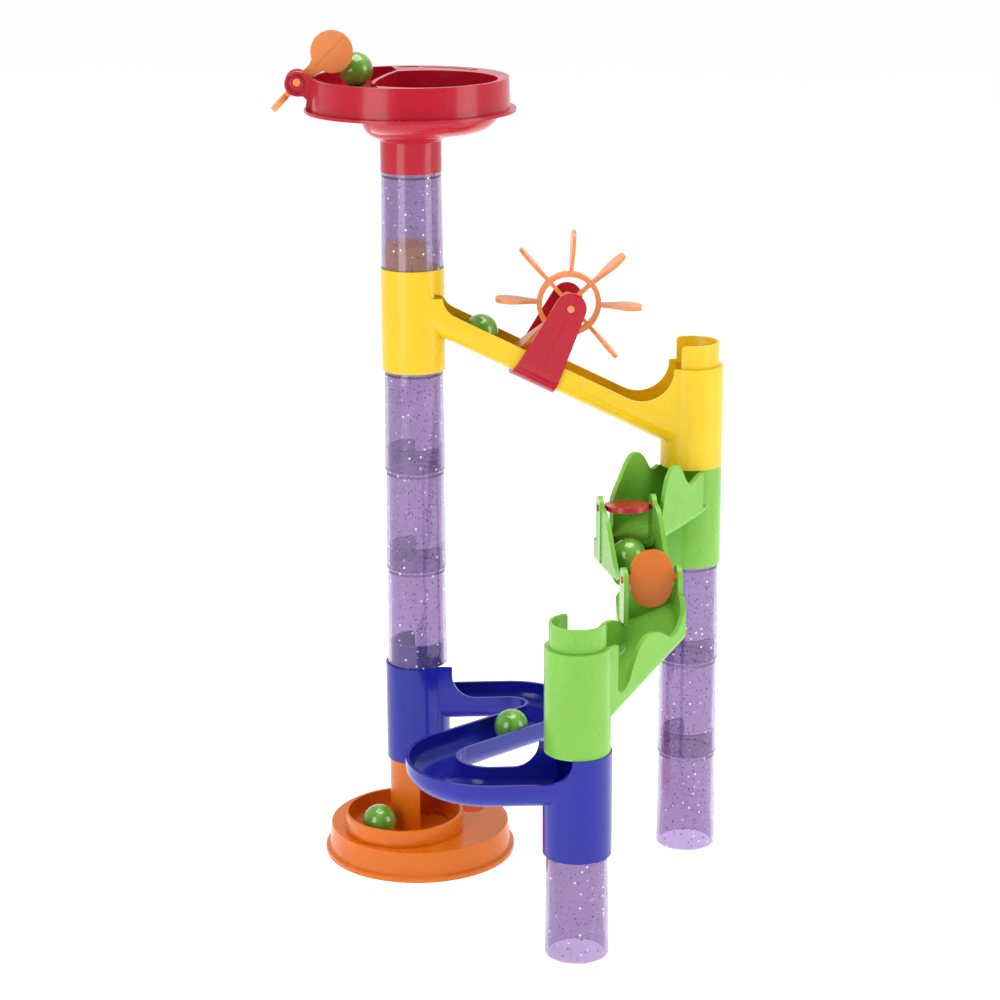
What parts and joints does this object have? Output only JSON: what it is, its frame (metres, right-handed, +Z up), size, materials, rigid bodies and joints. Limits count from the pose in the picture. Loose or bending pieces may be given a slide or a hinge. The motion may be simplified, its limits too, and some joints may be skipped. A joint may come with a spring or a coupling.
{
  "type": "marble run",
  "caption": "Stacked-tube marble run with a flick lever, paddle wheel ramp, tipping-flap cascade and S-shaped track.",
  "frame": {"origin": "on the floor, on the axis of the front left tube column, under the catch tray's centre post", "axes": "+Z up, +X towards the right-hand tube column, +Y towards the back"},
  "size_m": [0.2085, 0.1866, 0.3965],
  "materials": {
    "orange_plastic": "gloss",
    "pale_orange_plastic": "gloss",
    "blue_plastic": "gloss",
    "yellow_plastic": "gloss",
    "green_plastic": "gloss",
    "red_plastic": "gloss",
    "clear_purple": "gloss",
    "marble_green": "gloss"
  },
  "bodies": {
    "frame": {"base_tray": "orange_plastic", "tube_a_1": "clear_purple", "tube_a_2": "clear_purple", "tube_a_3": "clear_purple", "tube_a_4": "clear_purple", "tube_b_1": "clear_purple", "tube_b_2": "clear_purple", "tube_b_3": "clear_purple", "tube_c_1": "clear_purple", "blue_s_track": "blue_plastic", "yellow_ramp": "yellow_plastic", "green_cascade": "green_plastic", "top_tray": "red_plastic", "wheel_bracket": "red_plastic"},
    "wheel": {"paddle_wheel": "pale_orange_plastic"},
    "red_flap_body": {"red_flap": "red_plastic"},
    "orange_flap_body": {"orange_flap": "orange_plastic"},
    "lever": {"flick_lever": "pale_orange_plastic"},
    "marble_top_body": {"marble_top": "marble_green"},
    "marble_ramp_body": {"marble_ramp": "marble_green"},
    "marble_cascade_body": {"marble_cascade": "marble_green"},
    "marble_track_body": {"marble_track": "marble_green"},
    "marble_base_body": {"marble_base": "marble_green"}
  },
  "joints": [
    {"name": "wheel_spin", "type": "hinge", "parent": "frame", "child": "wheel", "pos_m": [0.0724, 0, 0.2699], "axis": [0, 1, 0], "continuous": true},
    {"name": "red_flap_swing", "type": "hinge", "parent": "frame", "child": "red_flap_body", "pos_m": [0.0963, -0.042, 0.183], "axis": [0.9962, 0.0872, 0], "range_deg": [-80, 80]},
    {"name": "orange_flap_swing", "type": "hinge", "parent": "frame", "child": "orange_flap_body", "pos_m": [0.1042, -0.079, 0.16], "axis": [0.9962, 0.0872, 0], "range_deg": [-80, 80]},
    {"name": "lever_swing", "type": "hinge", "parent": "frame", "child": "lever", "pos_m": [-0.051, 0, 0.3739], "axis": [0, 1, 0], "range_deg": [0, 18]},
    {"name": "marble_top_roll", "type": "slide", "parent": "frame", "child": "marble_top_body", "axis": [0, 1, 0], "range_m": [0, 0.01]},
    {"name": "marble_ramp_roll", "type": "slide", "parent": "frame", "child": "marble_ramp_body", "axis": [-0.896, 0, 0.444], "range_m": [0, 0.028]},
    {"name": "marble_cascade_roll", "type": "slide", "parent": "frame", "child": "marble_cascade_body", "axis": [0.978, 0.2088, 0], "range_m": [0, 0.0025]},
    {"name": "marble_track_roll", "type": "slide", "parent": "frame", "child": "marble_track_body", "axis": [-0.6935, -0.7181, 0.0584], "range_m": [0, 0.03]},
    {"name": "marble_base_roll", "type": "slide", "parent": "frame", "child": "marble_base_body", "axis": [-0.6247, 0.7809, 0], "range_m": [0, 0.008]}
  ]
}
